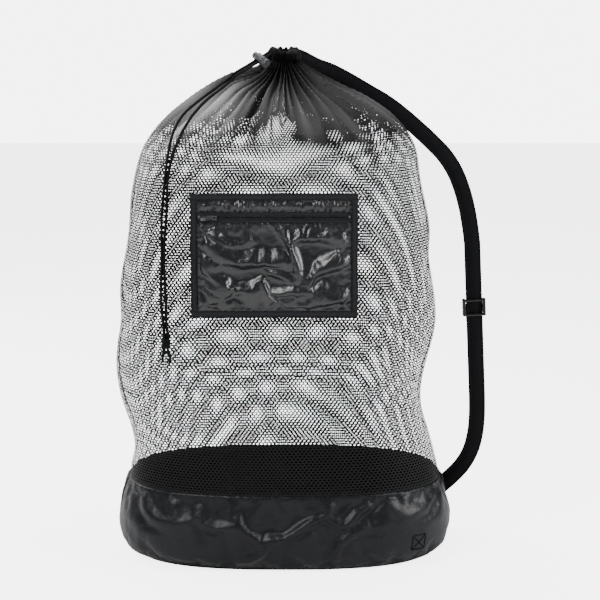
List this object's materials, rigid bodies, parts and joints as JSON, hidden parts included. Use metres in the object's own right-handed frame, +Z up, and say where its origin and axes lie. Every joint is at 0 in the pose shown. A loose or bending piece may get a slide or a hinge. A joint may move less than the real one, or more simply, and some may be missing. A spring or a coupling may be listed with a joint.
{
  "type": "mesh ball bag",
  "caption": "Tall drawstring sack of open netting on a solid base band, with a zipped front pocket, a cord lock and an adjustable shoulder strap.",
  "frame": {"origin": "on the floor, at the middle of the base panel's underside", "axes": "+Z up, the pocket faces -Y, +X towards the side that the shoulder strap hangs on"},
  "size_m": [0.6686, 0.3446, 0.91],
  "materials": {
    "netting": "open knitted polyester netting",
    "coated_cloth": "coated polyester, soft sheen",
    "satin_cloth": "coated satin polyester",
    "tape": "woven binding tape",
    "webbing": "flat woven webbing",
    "cord": "braided cord",
    "plastic": "moulded, fine grain",
    "metal": "plated, slightly worn",
    "thread": "sewing thread"
  },
  "bodies": {
    "bag": {"base_panel": "coated_cloth", "base_band": "coated_cloth", "band_top_seam_tape": "tape", "net_front_panel": "netting", "net_back_panel": "netting", "side_seam_tape_left": "tape", "side_seam_tape_right": "tape", "mouth_hem": "netting", "drawcord_loop": "cord", "drawcord_left_run": "cord", "drawcord_right_run": "cord", "cord_knot": "cord", "pocket_back_panel": "satin_cloth", "pocket_front_panel": "satin_cloth", "pocket_top_strip": "satin_cloth", "pocket_binding_bottom": "tape", "pocket_binding_top": "tape", "pocket_binding_left": "tape", "pocket_binding_right": "tape", "zip_tape_upper": "tape", "zip_coil_upper": "plastic", "zip_tape_lower": "tape", "zip_coil_lower": "plastic", "zip_stop_left": "metal", "zip_stop_right": "metal", "strap_webbing": "webbing", "strap_return_web": "webbing", "strap_ring": "plastic", "strap_ring_tab": "webbing", "box_x_stitch": "thread", "strap_anchor_patch": "webbing"},
    "slider": {"zip_slider": "metal"},
    "pull": {"zip_pull": "metal"},
    "cord_lock": {"cord_lock_barrel": "plastic", "cord_lock_spring": "metal"},
    "cord_lock_button": {"cord_lock_plunger": "plastic"},
    "adjuster": {"strap_adjuster": "plastic"}
  },
  "joints": [
    {"name": "zip_slide", "type": "slide", "parent": "bag", "child": "slider", "axis": [1, 0, 0], "range_m": [0, 0.239]},
    {"name": "zip_pull_swing", "type": "hinge", "parent": "slider", "child": "pull", "pos_m": [-0.1372, -0.1613, 0.631], "axis": [0, 0, -1], "range_deg": [0, 170]},
    {"name": "cord_lock_slide", "type": "slide", "parent": "bag", "child": "cord_lock", "axis": [-0.7622, -0.4763, -0.4384], "range_m": [0, 0.028]},
    {"name": "cord_lock_press", "type": "slide", "parent": "cord_lock", "child": "cord_lock_button", "axis": [0.6448, -0.6183, -0.4494], "range_m": [0, 0.0045], "stiffness_N_per_m": 600, "springref_m": -0.003, "deforming": ["cord_lock_spring"]},
    {"name": "strap_adjuster_slide", "type": "slide", "parent": "bag", "child": "adjuster", "axis": [0.0486, 0, -0.9988], "range_m": [-0.095, 0.15], "deforming": ["strap_return_web"]}
  ]
}
